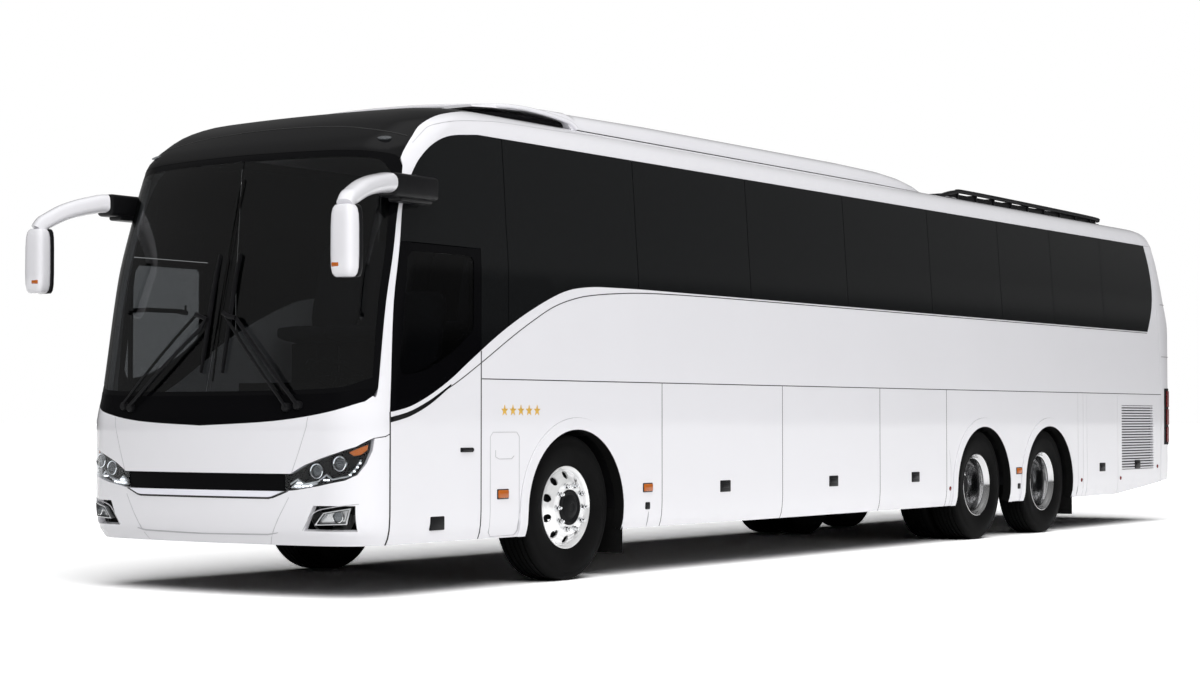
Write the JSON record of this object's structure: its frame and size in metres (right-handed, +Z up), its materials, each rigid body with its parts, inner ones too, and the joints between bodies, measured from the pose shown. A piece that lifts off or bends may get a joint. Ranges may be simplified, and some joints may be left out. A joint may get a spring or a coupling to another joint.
{
  "type": "coach bus",
  "caption": "Long high-deck touring coach with flush dark side glass, a sweeping waist line, roof air unit, front doors, top-hinged luggage lids and steered front wheels.",
  "frame": {"origin": "on the ground, under the middle of the box that holds the whole coach, mirrors included", "axes": "+X to the coach's own left, +Y to the rear, +Z up; the nose faces -Y"},
  "size_m": [3.2, 14.887, 3.49],
  "materials": {
    "white_paint": "gloss",
    "dark_glass": "gloss",
    "clear_glass": "gloss",
    "lamp_glass": "gloss",
    "red_lens": "gloss",
    "black_plastic": "satin",
    "black_rubber": "matt",
    "black_steel": "satin",
    "cast_iron": "matt",
    "polished_alloy": "polished",
    "tyre": "matt",
    "seat_fabric": "matt",
    "floor_panel": "satin"
  },
  "bodies": {
    "root": {"cab_floor": "floor_panel", "chassis_frame": "black_steel", "dashboard": "black_plastic", "drive_axle": "cast_iron", "driver_seat": "seat_fabric", "engine": "black_steel", "floor": "floor_panel", "front_axle": "cast_iron", "front_bumper": "white_paint", "front_panel": "white_paint", "grille_strip": "black_plastic", "headlamps": "lamp_glass", "luggage_bay": "floor_panel", "mirrors": "white_paint", "mudflaps": "black_rubber", "rear_glass": "dark_glass", "rear_panel": "white_paint", "roof": "white_paint", "roof_air_unit": "white_paint", "roof_rear_unit": "black_plastic", "seats": "seat_fabric", "side_glass_left": "dark_glass", "side_glass_right": "dark_glass", "side_wall_left": "white_paint", "side_wall_right": "white_paint", "tag_axle": "cast_iron", "tail_lamps": "red_lens", "wheel_boxes": "black_plastic", "windscreen": "clear_glass", "wipers": "black_plastic"},
    "knuckle_left": {"knuckle_left": "cast_iron"},
    "knuckle_right": {"knuckle_right": "cast_iron"},
    "wheel_front_left": {"tyre_front_left": "tyre", "rim_front_left": "polished_alloy"},
    "wheel_front_right": {"tyre_front_right": "tyre", "rim_front_right": "polished_alloy"},
    "wheel_drive_left": {"tyre_drive_left": "tyre", "rim_drive_left": "polished_alloy"},
    "wheel_drive_right": {"tyre_drive_right": "tyre", "rim_drive_right": "polished_alloy"},
    "wheel_tag_left": {"tyre_tag_left": "tyre", "rim_tag_left": "polished_alloy"},
    "wheel_tag_right": {"tyre_tag_right": "tyre", "rim_tag_right": "polished_alloy"},
    "steering_wheel": {"steering_wheel": "black_plastic"},
    "driver_door": {"driver_door": "white_paint", "driver_door_glass": "dark_glass"},
    "passenger_door_arms": {"passenger_door_arms": "black_steel"},
    "passenger_door": {"passenger_door": "white_paint", "passenger_door_glass": "clear_glass"},
    "engine_side_lid_left": {"engine_side_lid_left": "white_paint"},
    "engine_side_lid_right": {"engine_side_lid_right": "white_paint"},
    "luggage_lid_front_left": {"luggage_lid_front_left": "white_paint"},
    "luggage_lid_front_right": {"luggage_lid_front_right": "white_paint"},
    "luggage_lid_middle_left": {"luggage_lid_middle_left": "white_paint"},
    "luggage_lid_middle_right": {"luggage_lid_middle_right": "white_paint"},
    "luggage_lid_rear_left": {"luggage_lid_rear_left": "white_paint"},
    "luggage_lid_rear_right": {"luggage_lid_rear_right": "white_paint"},
    "service_lid_left": {"service_lid_left": "white_paint"},
    "engine_lid": {"engine_lid": "white_paint"}
  },
  "joints": [
    {"name": "steer_left", "type": "hinge", "parent": "root", "child": "knuckle_left", "pos_m": [0.966, -4.5135, 0.522], "axis": [0, 0, 1], "range_deg": [-40, 40]},
    {"name": "steer_right", "type": "hinge", "parent": "root", "child": "knuckle_right", "pos_m": [-0.966, -4.5135, 0.522], "axis": [0, 0, 1], "range_deg": [-40, 40]},
    {"name": "spin_front_left", "type": "hinge", "parent": "knuckle_left", "child": "wheel_front_left", "pos_m": [1.086, -4.5135, 0.522], "axis": [1, 0, 0], "continuous": true},
    {"name": "spin_front_right", "type": "hinge", "parent": "knuckle_right", "child": "wheel_front_right", "pos_m": [-1.086, -4.5135, 0.522], "axis": [1, 0, 0], "continuous": true},
    {"name": "spin_drive_left", "type": "hinge", "parent": "root", "child": "wheel_drive_left", "pos_m": [1.086, 2.3365, 0.522], "axis": [1, 0, 0], "continuous": true},
    {"name": "spin_drive_right", "type": "hinge", "parent": "root", "child": "wheel_drive_right", "pos_m": [-1.086, 2.3365, 0.522], "axis": [1, 0, 0], "continuous": true},
    {"name": "spin_tag_left", "type": "hinge", "parent": "root", "child": "wheel_tag_left", "pos_m": [1.086, 3.8865, 0.522], "axis": [1, 0, 0], "continuous": true},
    {"name": "spin_tag_right", "type": "hinge", "parent": "root", "child": "wheel_tag_right", "pos_m": [-1.086, 3.8865, 0.522], "axis": [1, 0, 0], "continuous": true},
    {"name": "steering_wheel_turn", "type": "hinge", "parent": "root", "child": "steering_wheel", "pos_m": [0.64, -6.4835, 1.15], "axis": [0, 0.4695, 0.8829], "range_deg": [-600, 600]},
    {"name": "driver_door_swing", "type": "hinge", "parent": "root", "child": "driver_door", "pos_m": [1.275, -6.5635, 1], "axis": [0, 0, -1], "range_deg": [0, 80]},
    {"name": "passenger_arm_swing", "type": "hinge", "parent": "root", "child": "passenger_door_arms", "pos_m": [-1.125, -6.5135, 1], "axis": [0, 0, 1], "range_deg": [0, 135]},
    {"name": "passenger_door_swing", "type": "hinge", "parent": "passenger_door_arms", "child": "passenger_door", "pos_m": [-1.08142, -6.0154, 1], "axis": [0, 0, 1], "range_deg": [-135, 0]},
    {"name": "engine_side_lid_left_lift", "type": "hinge", "parent": "root", "child": "engine_side_lid_left", "pos_m": [1.275, 6.4115, 1.425], "axis": [0, -1, 0], "range_deg": [0, 85]},
    {"name": "engine_side_lid_right_lift", "type": "hinge", "parent": "root", "child": "engine_side_lid_right", "pos_m": [-1.275, 6.4115, 1.425], "axis": [0, 1, 0], "range_deg": [0, 85]},
    {"name": "luggage_lid_front_left_lift", "type": "hinge", "parent": "root", "child": "luggage_lid_front_left", "pos_m": [1.275, -2.4285, 1.425], "axis": [0, -1, 0], "range_deg": [0, 85]},
    {"name": "luggage_lid_front_right_lift", "type": "hinge", "parent": "root", "child": "luggage_lid_front_right", "pos_m": [-1.275, -2.4285, 1.425], "axis": [0, 1, 0], "range_deg": [0, 85]},
    {"name": "luggage_lid_middle_left_lift", "type": "hinge", "parent": "root", "child": "luggage_lid_middle_left", "pos_m": [1.275, -0.6485, 1.425], "axis": [0, -1, 0], "range_deg": [0, 85]},
    {"name": "luggage_lid_middle_right_lift", "type": "hinge", "parent": "root", "child": "luggage_lid_middle_right", "pos_m": [-1.275, -0.6485, 1.425], "axis": [0, 1, 0], "range_deg": [0, 85]},
    {"name": "luggage_lid_rear_left_lift", "type": "hinge", "parent": "root", "child": "luggage_lid_rear_left", "pos_m": [1.275, 0.8865, 1.425], "axis": [0, -1, 0], "range_deg": [0, 85]},
    {"name": "luggage_lid_rear_right_lift", "type": "hinge", "parent": "root", "child": "luggage_lid_rear_right", "pos_m": [-1.275, 0.8865, 1.425], "axis": [0, 1, 0], "range_deg": [0, 85]},
    {"name": "service_lid_left_lift", "type": "hinge", "parent": "root", "child": "service_lid_left", "pos_m": [1.275, 5.3465, 1.425], "axis": [0, -1, 0], "range_deg": [0, 85]},
    {"name": "engine_lid_lift", "type": "hinge", "parent": "root", "child": "engine_lid", "pos_m": [0, 7.4365, 1.64], "axis": [1, 0, 0], "range_deg": [0, 80]}
  ],
  "couplings": [
    {"joint": "steer_right", "follows": "steer_left", "ratio": 1},
    {"joint": "steering_wheel_turn", "follows": "steer_left", "ratio": 15},
    {"joint": "passenger_door_swing", "follows": "passenger_arm_swing", "ratio": -1}
  ]
}
